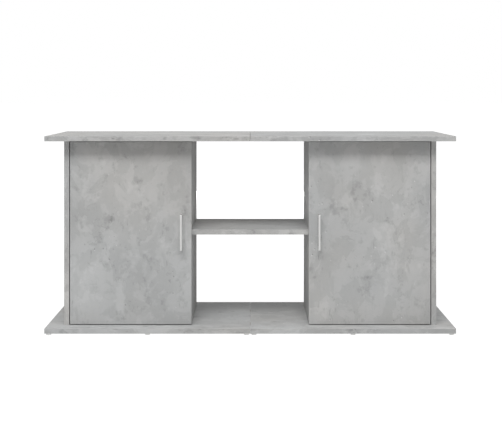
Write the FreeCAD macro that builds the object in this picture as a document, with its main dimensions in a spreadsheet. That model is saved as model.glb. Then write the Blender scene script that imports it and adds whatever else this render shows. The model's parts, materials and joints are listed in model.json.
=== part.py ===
import FreeCAD, Part
import os
import re
import Sketcher

# Aquarium stand cabinet: two closed cabinets with an open bay between them,
# held between a two-part top and a two-part base that overhang all round.
# Origin: floor level at the middle of the footprint. +X right, -Y front, +Z up.
# The left half is modelled; the right half is its mirror image.

SIZES = {
    # boards
    "plate_length": 1210, "plate_depth": 410, "stand_height": 580, "board": 15,
    "overhang": 50, "seam_gap": 0.4, "edge_round": 0.6,
    "shelf_depth": 280, "shelf_side_gap": 1, "shelf_setback": 10,
    "back_board": 3, "groove_depth": 6, "groove_setback": 11.5, "slide_fit": 0.1,
    # doors and handles
    "door_gap": 2.5, "door_head_gap": 3.5, "bumper_gap": 1.5, "bumper_radius": 4, "bumper_inset": 15,
    "handle_setback": 30, "handle_lift": 3.7, "handle_length": 106, "handle_reach": 28,
    "handle_width": 6, "handle_bar": 7, "handle_spacing": 96, "handle_bend": 1.5,
    # feet
    "glide_height": 6, "glide_radius": 7.5, "glide_foot_radius": 5.5, "glide_row": 11,
    "glide_inset": 12, "glide_middle": 303, "nail_radius": 1, "nail_head_radius": 2.5,
    "nail_length": 14, "nail_sink": 1, "nail_cap": 1, "glide_taper": 1.5,
    # knock-down joints
    "fit": 0.05, "loose_fit": 0.1, "screw_play": 0.15, "handle_play": 0.25, "cam_room": 0.3,
    "end_room": 0.5, "bore_spare": 2, "blind_skin": 3, "slot_half": 0.45, "socket_depth": 3,
    "cam_depth": 34, "cam_radius": 7.5, "cam_height": 12, "cam_row": 110,
    "bolt_thread": 3, "bolt_shank": 2.5, "bolt_head": 3.2, "bolt_bite": 11, "bolt_hole": 4,
    "dowel_radius": 4, "dowel_length": 30, "dowel_row": 60, "dowel_bite": 11,
    "screw_shoulder": 3.5, "screw_core": 2.5, "screw_head": 5, "screw_length": 50,
    "shelf_screw_row": 90, "pin_radius": 2.5, "pin_bite": 8, "pin_length": 16, "pin_row": 100,
    "pin_pitch": 32, "seam_dowel_row": 100,
    "tie_length": 80, "tie_width": 30, "tie_sheet": 1.5, "tie_screw_pitch": 22,
    "wood_screw": 1.75, "wood_screw_head": 3.4, "wood_screw_cap": 1.8, "wood_screw_length": 10,
    "handle_screw": 2, "handle_screw_head": 4, "handle_screw_cap": 2.6, "handle_screw_bite": 8,
    # hinges, measured from the side board's inner face and the door's front face
    "cup_centre": 24.5, "cup_radius": 17.5, "cup_depth": 11.5, "cup_wall": 0.8, "cup_flange": 1,
    "cup_ear": 12, "cup_screw_spacing": 48, "cup_screw_offset": 6, "hinge_margin": 95,
    "pivot": 1.25, "eye": 2.4,
    "long_arm_x": 28.5, "long_arm_y": 24, "long_cup_x": 15, "long_cup_y": 10,
    "short_arm_x": 44, "short_arm_y": 21, "short_cup_x": 19.8, "short_cup_y": 10.2,
    "hook_drop": 1.13, "hook_room": 2.55, "hook_wall": 1.85, "link_half": 1.3,
    "short_half": 3.6, "short_lug": 3.9, "long_cheek": 6.2, "long_half": 7.6,
    "arm_inside": 8.2, "lug_sheet": 1.3, "sheet": 1.2,
    "arm_low": 5, "arm_high": 13, "arm_back": 86, "plate_front": 44, "plate_back": 80,
    "plate_wing": 25, "plate_sheet": 1.5, "plate_line": 52, "plate_screw_half": 16,
    "ridge_half": 6.5, "fixing_screw": 2.9, "fixing_head": 4, "fixing_length": 9,
    "fixing_front": 56, "fixing_back": 72,
}

# positions worked out from the sizes, as expressions
SIDE_OUT = "(plate_length / 2 - overhang)"
SIDE_IN = f"({SIDE_OUT} - board)"
BAY = f"(({SIDE_OUT} * 2 - board * 4) / 3)"
DIVIDER_IN = f"({BAY} / 2)"
DIVIDER_OUT = f"({DIVIDER_IN} + board)"
SIDE_MIDDLE = f"({SIDE_IN} + board / 2)"
DIVIDER_MIDDLE = f"({DIVIDER_IN} + board / 2)"
FRONT = "(overhang - plate_depth / 2)"
REAR = "(plate_depth / 2 - overhang)"
INNER_FRONT = f"({FRONT} + board + bumper_gap)"
BASE_TOP = "(glide_height + board)"
TOP_UNDER = "(glide_height + stand_height - board)"
UPRIGHT_HEIGHT = "(stand_height - board * 2)"
SHELF_UNDER = f"(({BASE_TOP} + {TOP_UNDER} - board) / 2)"
DOOR_WIDTH = f"({SIDE_IN} - {DIVIDER_IN} - door_gap)"
DOOR_HEIGHT = f"({UPRIGHT_HEIGHT} - door_gap - door_head_gap)"
DOOR_FOOT = f"({BASE_TOP} + door_gap)"
GROOVE_FRONT = f"({REAR} - groove_setback - back_board / 2 - slide_fit)"

doc = FreeCAD.newDocument("aquarium_stand")
sheet = doc.addObject("Spreadsheet::Sheet", "sizes")
for row, (alias, size) in enumerate(SIZES.items(), start=1):
    sheet.set(f"A{row}", str(size))
    sheet.setAlias(f"A{row}", alias)
doc.recompute()

subparts = []


# ---- helpers ----

def sized(text):
    """An expression with each size name turned into a reference to its cell."""
    return re.sub(r"[a-z_]+", lambda word: f"sizes.{word[0]}" if word[0] in SIZES else word[0], text)


def number(text):
    """The present value of an expression."""
    return float(sheet.evalExpression(sized(text)))


def place(thing, x="0", y="0", z="0", turn=None):
    """Binds an object's position to expressions; turn is a fixed rotation."""
    if turn:
        thing.Placement.Rotation = turn
    for axis, text in zip("xyz", (x, y, z)):
        thing.setExpression(f"Placement.Base.{axis}", sized(text))


def new_body(label):
    """An empty PartDesign body."""
    body = doc.addObject("PartDesign::Body", label)
    body.Label = label
    return body


def keep(thing, label):
    """Names an object as a finished sub-part."""
    thing.Label = label
    subparts.append(thing)
    return thing


# For each direction: the origin plane to sketch on, the sign between the position
# along the axis and the sketch's offset, and whether a pad that way runs with the
# sketch's normal.
DIRECTIONS = {
    "+x": ("YZ_Plane", "", True), "-x": ("YZ_Plane", "", False),
    "+y": ("XZ_Plane", "-", False), "-y": ("XZ_Plane", "-", True),
    "+z": ("XY_Plane", "", True), "-z": ("XY_Plane", "", False),
}


def new_sketch(body, direction, start):
    """A sketch across the axis of direction, at position start on that axis."""
    role, sign, _ = DIRECTIONS[direction]
    plane = next(item for item in body.Origin.OriginFeatures if item.Role == role)
    sketch = body.newObject("Sketcher::SketchObject", f"{body.Name}_sketch")
    sketch.AttachmentSupport = [(plane, "")]
    sketch.MapMode = "FlatFace"
    sketch.setExpression("AttachmentOffset.Base.z", sized(f"{sign}({start})"))
    return sketch


def hold_point(sketch, geometry, point, x, y):
    """Ties one point of a sketch to expressions, from the sketch's origin."""
    for kind, text in (("DistanceX", x), ("DistanceY", y)):
        constraint = Sketcher.Constraint(kind, -1, 1, geometry, point, number(text))
        index = sketch.addConstraint(constraint)
        sketch.setExpression(f"Constraints[{index}]", sized(text))


def draw_outline(sketch, corners):
    """A closed polygon through corners, each a pair of expressions."""
    points = [FreeCAD.Vector(number(x), number(y), 0) for x, y in corners]
    lines = []
    for index, point in enumerate(points):
        following = points[(index + 1) % len(points)]
        lines.append(sketch.addGeometry(Part.LineSegment(point, following)))
    for index, line in enumerate(lines):
        following = lines[(index + 1) % len(lines)]
        sketch.addConstraint(Sketcher.Constraint("Coincident", line, 2, following, 1))
    for line, (x, y) in zip(lines, corners):
        hold_point(sketch, line, 1, x, y)


def draw_circles(sketch, centres, radius):
    """One circle at each centre, all of one radius."""
    for x, y in centres:
        middle = FreeCAD.Vector(number(x), number(y), 0)
        circle = Part.Circle(middle, FreeCAD.Vector(0, 0, 1), number(radius))
        geometry = sketch.addGeometry(circle)
        hold_point(sketch, geometry, 3, x, y)
        constraint = Sketcher.Constraint("Radius", geometry, number(radius))
        index = sketch.addConstraint(constraint)
        sketch.setExpression(f"Constraints[{index}]", sized(radius))


def corners_of(low, high):
    """The four corners of a rectangle, from its lowest and highest corner."""
    return [low, (high[0], low[1]), high, (low[0], high[1])]


def add_feature(body, kind, sketch, direction, length):
    """Pads or pockets a sketch along direction, and checks that it did something."""
    before = body.Shape.Volume if body.Tip else 0
    with_normal = DIRECTIONS[direction][2]
    feature = body.newObject(f"PartDesign::{kind}", f"{body.Name}_{kind}")
    feature.Profile = sketch
    feature.setExpression("Length", sized(length))
    feature.Reversed = with_normal if kind == "Pocket" else not with_normal
    doc.recompute()
    change = body.Shape.Volume - before
    if (change >= 0) if kind == "Pocket" else (change <= 0):
        raise RuntimeError(f"{feature.Name} changed nothing")


def pad(body, direction, start, corners, length):
    """Adds a prism on a polygon."""
    sketch = new_sketch(body, direction, start)
    draw_outline(sketch, corners)
    add_feature(body, "Pad", sketch, direction, length)


def boss(body, direction, start, centres, radius, length):
    """Adds round pillars."""
    sketch = new_sketch(body, direction, start)
    draw_circles(sketch, centres, radius)
    add_feature(body, "Pad", sketch, direction, length)


def cut(body, direction, start, corners, length):
    """Removes a prism on a polygon."""
    sketch = new_sketch(body, direction, start)
    draw_outline(sketch, corners)
    add_feature(body, "Pocket", sketch, direction, length)


def drill(body, direction, start, centres, radius, length):
    """Removes round holes."""
    sketch = new_sketch(body, direction, start)
    draw_circles(sketch, centres, radius)
    add_feature(body, "Pocket", sketch, direction, length)


def turn_profile(body, corners):
    """Adds a solid turned about the body's Z axis, from (radius, height) corners."""
    sketch = new_sketch(body, "+y", "0")
    draw_outline(sketch, corners)
    feature = body.newObject("PartDesign::Revolution", f"{body.Name}_turned")
    feature.Profile = sketch
    feature.ReferenceAxis = (sketch, ["V_Axis"])
    feature.Angle = 360
    doc.recompute()


def round_edges(body, radius, wanted):
    """Rounds the body's straight edges that wanted accepts."""
    chosen = []
    for index, edge in enumerate(body.Shape.Edges, start=1):
        if len(edge.Vertexes) == 2 and wanted(edge):
            chosen.append(f"Edge{index}")
    base = body.Tip
    fillet = body.newObject("PartDesign::Fillet", f"{body.Name}_rounded")
    fillet.Base = (base, chosen)
    fillet.setExpression("Radius", sized(radius))
    doc.recompute()


def outer_edges(body):
    """Accepts the edges that run along the body's bounding box."""
    box = body.Shape.BoundBox
    low = FreeCAD.Vector(box.XMin, box.YMin, box.ZMin)
    high = FreeCAD.Vector(box.XMax, box.YMax, box.ZMax)

    def wanted(edge):
        ends = [vertex.Point for vertex in edge.Vertexes]
        shared = 0
        for axis in range(3):
            for limit in (low[axis], high[axis]):
                if all(abs(end[axis] - limit) < 1e-4 for end in ends):
                    shared += 1
        return shared == 2

    return wanted


def mirror(source, label):
    """The right-hand twin of a left-hand sub-part."""
    twin = doc.addObject("Part::Mirroring", label)
    twin.Source = source
    twin.Normal = (1, 0, 0)
    twin.Base = (0, 0, 0)
    return keep(twin, label)


def copies_of(pattern, spots):
    """Linked copies of a pattern; a spot is (x, y, z, rotation)."""
    copies = []
    for x, y, z, turn in spots:
        copy = doc.addObject("App::Link", f"{pattern.Name}_copy")
        copy.LinkedObject = pattern
        place(copy, x, y, z, turn)
        copies.append(copy)
    return copies


def gather(label, copies):
    """One sub-part of separate copies."""
    compound = doc.addObject("Part::Compound", label)
    compound.Links = copies
    return keep(compound, label)


def group(pattern, label, spots):
    """One sub-part of separate copies of one pattern."""
    return gather(label, copies_of(pattern, spots))


def both(rows):
    """Each expression and its negative."""
    signed = []
    for row in rows:
        signed += [row, f"-({row})"]
    return signed


UPWARD = FreeCAD.Rotation()
DOWNWARD = FreeCAD.Rotation(FreeCAD.Vector(1, 0, 0), 180)
TO_REAR = FreeCAD.Rotation(FreeCAD.Vector(1, 0, 0), -90)
# a pattern's Z axis turned to the right or left, with its Y axis upright
VERTICAL = FreeCAD.Vector(0, 0, 1)
TO_RIGHT = FreeCAD.Rotation(FreeCAD.Vector(0, 1, 0), VERTICAL, FreeCAD.Vector(1, 0, 0))
TO_LEFT = FreeCAD.Rotation(FreeCAD.Vector(0, -1, 0), VERTICAL, FreeCAD.Vector(-1, 0, 0))


# ---- boards ----

def plate(label):
    """Half of the top or base, from its outer end to the seam at the middle."""
    body = new_body(label)
    outline = corners_of(("-plate_length / 2", "-plate_depth / 2"), ("-seam_gap / 2", "plate_depth / 2"))
    pad(body, "+z", "0", outline, "board")
    round_edges(body, "edge_round", outer_edges(body))
    seam_spots = [(y, "board / 2") for y in both(["seam_dowel_row"])]
    drill(body, "-x", "0", seam_spots, "dowel_radius + fit", "seam_gap / 2 + dowel_length / 2 + end_room")
    return body


def upright_spots(row):
    """Where a row of fastenings meets the side board and the divider."""
    return [(f"-{x}", y) for x in (SIDE_MIDDLE, DIVIDER_MIDDLE) for y in both([row])]


def tie_spots():
    """Screw places of the two joining plates, on the left of the seam."""
    columns = ("-tie_screw_pitch / 2", "-tie_screw_pitch * 1.5")
    return [(x, y) for x in columns for y in both(["dowel_row"])]


def top_half():
    """Left half of the top, drilled from below."""
    body = plate("top_panel_left")
    place(body, z=TOP_UNDER)
    drill(body, "+z", "0", upright_spots("cam_row"), "bolt_thread + fit", "bolt_bite + end_room")
    drill(body, "+z", "0", upright_spots("dowel_row"), "dowel_radius + fit", "dowel_bite + end_room")
    drill(body, "+z", "0", tie_spots(), "wood_screw + fit", "board - blind_skin")
    return keep(body, "top_panel_left")


def base_half():
    """Left half of the base, drilled from both faces."""
    body = plate("base_panel_left")
    place(body, z="glide_height")
    drill(body, "-z", "board", upright_spots("dowel_row"), "dowel_radius + fit", "dowel_bite + end_room")
    drill(body, "+z", "0", upright_spots("cam_row"), "screw_shoulder + fit", "board")
    drill(body, "+z", "0", upright_spots("cam_row"), "screw_head + loose_fit", "screw_shoulder")
    drill(body, "+z", "0", tie_spots(), "wood_screw + fit", "board - blind_skin")
    drill(body, "+z", "0", glide_spots([-1]), "nail_radius + fit", "nail_length - bore_spare")
    return keep(body, "base_panel_left")


def upright(label, face, front):
    """A vertical board with its edge drilled; face is where its outer side lies."""
    body = new_body(label)
    place(body, f"-{face}", "0", BASE_TOP)
    pad(body, "+x", "0", corners_of((front, "0"), (REAR, UPRIGHT_HEIGHT)), "board")
    middle = "board / 2"
    cam_spots = [(middle, y) for y in both(["cam_row"])]
    dowel_spots = [(middle, y) for y in both(["dowel_row"])]
    dowel_hole = "dowel_length - dowel_bite + end_room"
    drill(body, "-z", UPRIGHT_HEIGHT, cam_spots, "bolt_hole", "cam_depth")
    drill(body, "-z", UPRIGHT_HEIGHT, dowel_spots, "dowel_radius + fit", dowel_hole)
    drill(body, "+z", "0", dowel_spots, "dowel_radius + fit", dowel_hole)
    drill(body, "+z", "0", cam_spots, "screw_core + fit", "screw_length - board + bore_spare")
    return body


def fit_out(body, face, direction):
    """Cam bores, shelf pin rows and the back groove in a board's cabinet side."""
    cams = [(y, f"{UPRIGHT_HEIGHT} - cam_depth") for y in both(["cam_row"])]
    drill(body, direction, face, cams, "cam_radius + fit", "cam_height + cam_room")
    pins = []
    for step in range(-2, 3):
        pins += [(y, pin_level(step)) for y in both(["pin_row"])]
    drill(body, direction, face, pins, "pin_radius + fit", "pin_bite + bore_spare / 2")
    groove = corners_of(
        (GROOVE_FRONT, "-1"),
        (f"{GROOVE_FRONT} + back_board + slide_fit * 2", f"{UPRIGHT_HEIGHT} + 1"),
    )
    cut(body, direction, face, groove, "groove_depth")


def pin_level(step):
    """Height of a shelf pin hole above a board's foot; step 0 carries the shelf."""
    return f"{SHELF_UNDER} - {BASE_TOP} - pin_radius - fit + pin_pitch * {step}"


def side_panel():
    """Outer side board of the left cabinet."""
    body = upright("side_panel_left", SIDE_OUT, FRONT)
    fit_out(body, "board", "-x")
    screws = []
    for level in ("hinge_margin + door_gap", f"{DOOR_HEIGHT} - hinge_margin + door_gap"):
        for side in both(["plate_screw_half"]):
            screws.append((f"{FRONT} + plate_line", f"{level} + {side}"))
    drill(body, "-x", "board", screws, "wood_screw + fit", "board - blind_skin")
    round_edges(body, "edge_round / 2", front_edges(body))
    return keep(body, "side_panel_left")


def divider():
    """Board between the left cabinet and the open bay."""
    body = upright("divider_left", DIVIDER_OUT, INNER_FRONT)
    fit_out(body, "0", "+x")
    level = f"{SHELF_UNDER} - {BASE_TOP} + board / 2"
    spots = [(y, level) for y in both(["shelf_screw_row"])]
    drill(body, "+x", "0", spots, "screw_shoulder + fit", "board")
    drill(body, "+x", "0", spots, "screw_head + loose_fit", "screw_shoulder")
    round_edges(body, "edge_round / 2", front_edges(body))
    return keep(body, "divider_left")


def front_edges(body):
    """Accepts the two long edges of a board's front edge."""
    box = body.Shape.BoundBox

    def wanted(edge):
        ends = [vertex.Point for vertex in edge.Vertexes]
        at_front = all(abs(end.y - box.YMin) < 1e-4 for end in ends)
        return at_front and abs(edge.Length - max(box.XLength, box.ZLength)) < 1e-4

    return wanted


def centre_shelf():
    """Fixed shelf across the open bay."""
    body = new_body("centre_shelf")
    place(body, "0", INNER_FRONT, SHELF_UNDER)
    pad(body, "+z", "0", corners_of((f"-{DIVIDER_IN}", "0"), (DIVIDER_IN, "shelf_depth")), "board")
    spots = [(f"{y} - {INNER_FRONT}", "board / 2") for y in both(["shelf_screw_row"])]
    depth = "screw_length - board + bore_spare"
    drill(body, "+x", f"-{DIVIDER_IN}", spots, "screw_core + fit", depth)
    drill(body, "-x", DIVIDER_IN, spots, "screw_core + fit", depth)
    round_edges(body, "edge_round / 2", front_edges(body))
    return keep(body, "centre_shelf")


def inner_shelf():
    """Loose shelf in the left cabinet, resting on four pins."""
    body = new_body("inner_shelf_left")
    place(body, f"-{SIDE_IN} + shelf_side_gap", f"{INNER_FRONT} + shelf_setback", SHELF_UNDER)
    far = (f"{BAY} - shelf_side_gap * 2", "shelf_depth - shelf_setback")
    outline = corners_of(("0", "0"), far)
    pad(body, "+z", "0", outline, "board")
    round_edges(body, "edge_round / 2", front_edges(body))
    return keep(body, "inner_shelf_left")


def back_panel():
    """Thin back of the left cabinet, slid into grooves in both boards."""
    body = new_body("back_panel_left")
    place(body, f"-{SIDE_IN}", f"{GROOVE_FRONT} + slide_fit", BASE_TOP)
    reach = "(groove_depth - 1)"
    outline = corners_of((f"-{reach}", "0.5"), (f"{BAY} + {reach}", f"{UPRIGHT_HEIGHT} - 0.5"))
    pad(body, "+y", "0", outline, "back_board")
    return keep(body, "back_panel_left")


# ---- doors and handles ----

HINGE_LEVELS = (f"({DOOR_FOOT} + hinge_margin)", f"({DOOR_FOOT} + {DOOR_HEIGHT} - hinge_margin)")
HANDLE_LEVEL = f"({DOOR_HEIGHT} / 2 + handle_lift)"


def door():
    """Left door, from its hinged edge; bored from the rear for two hinge cups."""
    body = new_body("door_left")
    place(body, f"-{SIDE_IN} + door_gap", FRONT, DOOR_FOOT)
    pad(body, "+y", "0", corners_of(("0", "0"), (DOOR_WIDTH, DOOR_HEIGHT)), "board")
    levels = ("hinge_margin", f"{DOOR_HEIGHT} - hinge_margin")
    centre = "cup_centre - door_gap"
    drill(body, "-y", "board", [(centre, z) for z in levels], "cup_radius", "cup_depth")
    screws = []
    for level in levels:
        for side in both(["cup_screw_spacing / 2"]):
            screws.append((f"{centre} + cup_screw_offset", f"{level} + {side}"))
    drill(body, "-y", "board", screws, "wood_screw + fit", "board - blind_skin")
    handle_holes = []
    for side in both(["handle_spacing / 2"]):
        handle_holes.append((f"{DOOR_WIDTH} - handle_setback", f"{HANDLE_LEVEL} + {side}"))
    drill(body, "-y", "board", handle_holes, "handle_screw + handle_play", "board")
    round_edges(body, "edge_round", outer_edges(body))
    return keep(body, "door_left")


def door_handle():
    """Straight pull with square-set ends, screwed on from behind the door."""
    body = new_body("door_handle_left")
    place(body, f"-{DIVIDER_IN} - handle_setback", FRONT, f"{DOOR_FOOT} + {HANDLE_LEVEL}")
    half = "handle_length / 2"
    foot = "(handle_length - handle_spacing)"
    outline = [
        ("0", f"-{half}"), ("-handle_reach", f"-{half}"),
        ("-handle_reach", half), ("0", half),
        ("0", f"{half} - {foot}"), ("handle_bar - handle_reach", f"{half} - {foot}"),
        ("handle_bar - handle_reach", f"{foot} - {half}"), ("0", f"{foot} - {half}"),
    ]
    pad(body, "+x", "-handle_width / 2", outline, "handle_width")
    box = body.Shape.BoundBox

    def bends(edge):
        ends = [vertex.Point for vertex in edge.Vertexes]
        across = abs(ends[0].x - ends[1].x) > 1
        return across and all(end.y < box.YMin + 1e-4 for end in ends)

    round_edges(body, "handle_bend", bends)

    def long_edges(edge):
        ends = [vertex.Point for vertex in edge.Vertexes]
        return all(end.y < box.YMin + 1e-4 for end in ends) and edge.Length > box.ZLength / 2

    round_edges(body, "edge_round", long_edges)
    spots = [("0", z) for z in both(["handle_spacing / 2"])]
    drill(body, "-y", "0", spots, "handle_screw + fit", "handle_screw_bite + bore_spare * 2")
    return keep(body, "door_handle_left")


def screw(label, shank, length, head, cap):
    """Pan head wood or machine screw with a cross slot; z = 0 is under the head."""
    body = new_body(label)
    tip = f"({shank} / 2)"
    turn_profile(body, [
        ("0", f"-({length})"), (tip, f"-({length})"), (shank, f"{tip} - {length}"),
        (shank, "0"), (head, "0"), (head, f"{cap} / 2"), (f"{head} * 0.7", cap), ("0", cap),
    ])
    cross_slot(body, cap, f"{head} * 0.5", f"{cap} * 0.6")
    return body


def cross_slot(body, top, reach, depth):
    """Cross recess in a round head, cut down from top."""
    cut(body, "-z", top, corners_of((f"-{reach}", "-slot_half"), (reach, "slot_half")), depth)
    cut(body, "-z", top, corners_of(("-slot_half", f"-{reach}"), ("slot_half", reach)), depth)


def handle_screws():
    """Two machine screws through the door into the handle's feet."""
    pattern = screw("handle_screw", "handle_screw", "board + handle_screw_bite",
                    "handle_screw_head", "handle_screw_cap")
    x = f"-{DIVIDER_IN} - handle_setback"
    spots = []
    for side in both(["handle_spacing / 2"]):
        spots.append((x, f"{FRONT} + board", f"{DOOR_FOOT} + {HANDLE_LEVEL} + {side}", TO_REAR))
    return group(pattern, "handle_screws_left", spots)


def door_bumpers():
    """Two soft discs behind the door's free edge."""
    body = new_body("door_bumper")
    rim = "bumper_gap - fit"
    turn_profile(body, [
        ("0", "0"), ("bumper_radius", "0"), ("bumper_radius", f"({rim}) / 2"),
        ("bumper_radius * 0.7", rim), ("0", rim),
    ])
    x = f"-{DIVIDER_MIDDLE}"
    levels = (f"{DOOR_FOOT} + bumper_inset", f"{DOOR_FOOT} + {DOOR_HEIGHT} - bumper_inset")
    return group(body, "door_bumpers_left", [(x, f"{FRONT} + board", z, TO_REAR) for z in levels])


# ---- hinges: x runs away from the side board, y runs back from the door's front ----

def hinge_pair(pattern, label):
    """A hinge piece at both levels of the left door."""
    spots = [(f"-{SIDE_IN}", FRONT, level, UPWARD) for level in HINGE_LEVELS]
    return group(pattern, label, spots)


LONG_ARM = ("long_arm_x", "long_arm_y")
LONG_CUP = ("long_cup_x", "long_cup_y")
SHORT_ARM = ("short_arm_x", "short_arm_y")
SHORT_CUP = ("short_cup_x", "short_cup_y")


def hinge_cup():
    """Drawn cup with a flange, two ears, and lugs for the link pins."""
    body = new_body("hinge_cup")
    bottom = "(board - cup_depth + loose_fit)"
    floor = f"({bottom} + 0.6)"
    outside = "(cup_radius - loose_fit)"
    centre = [("cup_centre", "0")]
    boss(body, "+y", bottom, centre, outside, f"board - {bottom}")
    boss(body, "+y", "board", centre, "cup_radius + 1.5", "cup_flange")
    ear_middle = "(cup_centre + cup_screw_offset)"
    ear_reach = "(cup_screw_spacing / 2 + cup_ear / 2)"
    ears = corners_of(
        (f"{ear_middle} - cup_ear / 2", f"-{ear_reach}"), (f"{ear_middle} + cup_ear / 2", ear_reach))
    pad(body, "+y", "board", ears, "cup_flange")
    drill(body, "-y", "board + cup_flange", centre, f"{outside} - cup_wall", f"board + cup_flange - {floor}")
    pillar = f"({floor} - 0.1)"
    long_lug = corners_of(
        ("long_cup_x - eye", pillar), ("long_cup_x + eye", "long_cup_y + eye"))
    short_lug = corners_of(
        ("short_cup_x - eye", pillar), ("short_cup_x + eye", "short_cup_y + eye"))
    for near in ("arm_inside", "-arm_inside - lug_sheet"):
        pad(body, "+z", near, long_lug, "lug_sheet")
    for near in ("short_lug", "-short_lug - lug_sheet"):
        pad(body, "+z", near, short_lug, "lug_sheet")
    through = "arm_inside * 2 + lug_sheet * 2 + 2"
    start = f"-({through}) / 2"
    drill(body, "+z", start, [LONG_CUP], "pivot + fit / 2", through)
    drill(body, "+z", start, [SHORT_CUP], "pivot + fit / 2", through)
    holes = [(ear_middle, z) for z in both(["cup_screw_spacing / 2"])]
    drill(body, "-y", "board + cup_flange", holes, "wood_screw + screw_play", "cup_flange")
    return hinge_pair(body, "hinge_cups_left")


def pivot_pin(label, half):
    """Plain pin on the Z axis, half its length each way."""
    body = new_body(label)
    boss(body, "+z", f"-({half})", [("0", "0")], "pivot", f"({half}) * 2")
    return body


def pin_spots(pivot):
    """Where one pivot lies in both hinges."""
    x, y = pivot
    return [(f"-{SIDE_IN} + {x}", f"{FRONT} + {y}", level, UPWARD) for level in HINGE_LEVELS]


def hinge_pins():
    """Pins in the cups and in the arms."""
    wide = pivot_pin("wide_pin", "arm_inside + lug_sheet + 0.4")
    narrow = pivot_pin("narrow_pin", "short_lug + lug_sheet")
    cup_copies = copies_of(wide, pin_spots(LONG_CUP)) + copies_of(narrow, pin_spots(SHORT_CUP))
    arm_copies = copies_of(wide, pin_spots(LONG_ARM) + pin_spots(SHORT_ARM))
    return gather("hinge_cup_pins_left", cup_copies), gather("hinge_arm_pins_left", arm_copies)


def band(points, half):
    """Outline of a strip of even width along points: numbers in, numbers out."""
    left, right = [], []
    last = len(points) - 1
    for index, point in enumerate(points):
        before = points[max(index - 1, 0)]
        after = points[min(index + 1, last)]
        along = (point - before).normalize() if index else (after - point).normalize()
        onward = (after - point).normalize() if index < last else along
        mean = (along + onward).normalize()
        side = FreeCAD.Vector(-mean.y, mean.x, 0)
        stretch = half / max(side.dot(FreeCAD.Vector(-along.y, along.x, 0)), 0.5)
        left.append(point + side * stretch)
        right.append(point - side * stretch)
    return left + right[::-1]


def bent_strip(body, bends, low, height):
    """Pads a strip of even width along bends, each a pair of expressions."""
    points = [FreeCAD.Vector(number(x), number(y), 0) for x, y in bends]
    outline = band(points, number("link_half"))
    pad(body, "+z", low, [(f"{point.x:.3f}", f"{point.y:.3f}") for point in outline], height)


def outer_link():
    """Goose-necked link: two cheeks and a bridge, clear of the door's edge when open."""
    body = new_body("hinge_outer_link")
    width = "long_half * 2"
    bends = [
        LONG_ARM, ("long_arm_x + 1.7", "long_arm_y - 8"), ("long_cup_x + 11", "long_cup_y - 1.8"),
        ("long_cup_x + 6", "long_cup_y - 3.4"), LONG_CUP,
    ]
    bent_strip(body, bends, "-long_half", width)
    boss(body, "+z", "-long_half", [LONG_ARM, LONG_CUP], "eye", width)
    below = corners_of(("0", "0"), ("long_arm_x + 10", "long_arm_y - 7"))
    above = corners_of(("0", "long_arm_y - 3"), ("long_arm_x + 10", "long_arm_y + 10"))
    for outline in (below, above):
        cut(body, "+z", "-long_cheek", outline, "long_cheek * 2")
    drill(body, "+z", "-long_half - 1", [LONG_ARM, LONG_CUP], "pivot + fit", "long_half * 2 + 2")
    return hinge_pair(body, "hinge_outer_links_left")


def inner_link():
    """Link whose cup end is an open hook, with room round its pin."""
    body = new_body("hinge_inner_link")
    width = "short_half * 2"
    hook_y = "(short_cup_y - hook_drop)"
    bends = [
        SHORT_ARM, ("short_arm_x - 9.5", "short_arm_y - 5.5"),
        ("short_cup_x + 7", f"{hook_y} + 0.6"), ("short_cup_x + 3", f"{hook_y} - 0.6"),
    ]
    bent_strip(body, bends, "-short_half", width)
    boss(body, "+z", "-short_half", [SHORT_ARM], "eye", width)
    boss(body, "+z", "-short_half", [("short_cup_x", hook_y)], "hook_room + hook_wall", width)
    through = "short_half * 2 + 2"
    start = "-short_half - 1"
    drill(body, "+z", start, [("short_cup_x", hook_y)], "hook_room", through)
    drill(body, "+z", start, [SHORT_ARM], "pivot + fit", through)
    mouth = corners_of(
        ("short_cup_x - 6", f"{hook_y} + 0.6"), ("short_cup_x + 2.9", f"{hook_y} + 6"))
    side = corners_of(
        ("short_cup_x - 6", f"{hook_y} - 6"), ("short_cup_x - 2.3", f"{hook_y} + 1"))
    for outline in (mouth, side):
        cut(body, "+z", start, outline, through)
    return hinge_pair(body, "hinge_inner_links_left")


def hinge_arm():
    """Cranked channel that carries the arm pins; open towards the side board."""
    body = new_body("hinge_arm")
    nose_x = "(short_arm_x + 4.2)"
    tail = [("long_arm_x - 2.5", "long_arm_y + 9"), ("arm_high", "plate_front")]
    face = [
        (nose_x, "short_arm_y + 2.5"), ("short_arm_x - 0.8", "short_arm_y + 6.9"), *tail,
        ("arm_high", "arm_back"),
    ]
    outline = [
        ("arm_low", "arm_back"), ("arm_low", "plate_front + 2"),
        ("long_arm_x - 2.7", "long_arm_y + 3.5"), ("long_arm_x - 2.7", "long_arm_y - 1.5"),
        ("long_arm_x - 1.3", "long_arm_y - 2.8"), ("short_arm_x - 1.4", "short_arm_y - 2.6"),
        ("short_arm_x + 1.6", "short_arm_y - 2.4"), (nose_x, "short_arm_y"), *face,
    ]
    pad(body, "+z", "-arm_inside - sheet", outline, "(arm_inside + sheet) * 2")
    inner = [(f"{x} - sheet", f"{y} - sheet / 2") for x, y in face]
    hollow = [("-1", "arm_back + 1"), ("-1", "0"), (f"{nose_x} - sheet", "0"), *inner[:-1],
              ("arm_high - sheet", "arm_back + 1")]
    cut(body, "+z", "-arm_inside", hollow, "arm_inside * 2")
    drill(body, "+z", "-arm_inside - sheet - 1", [LONG_ARM, SHORT_ARM], "pivot + fit / 2",
          "(arm_inside + sheet) * 2 + 2")
    holes = [("fixing_front", "0"), ("fixing_back", "0")]
    drill(body, "-x", "arm_high + 1", holes, "fixing_screw + loose_fit", "sheet + 2")
    return hinge_pair(body, "hinge_arms_left")


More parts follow.
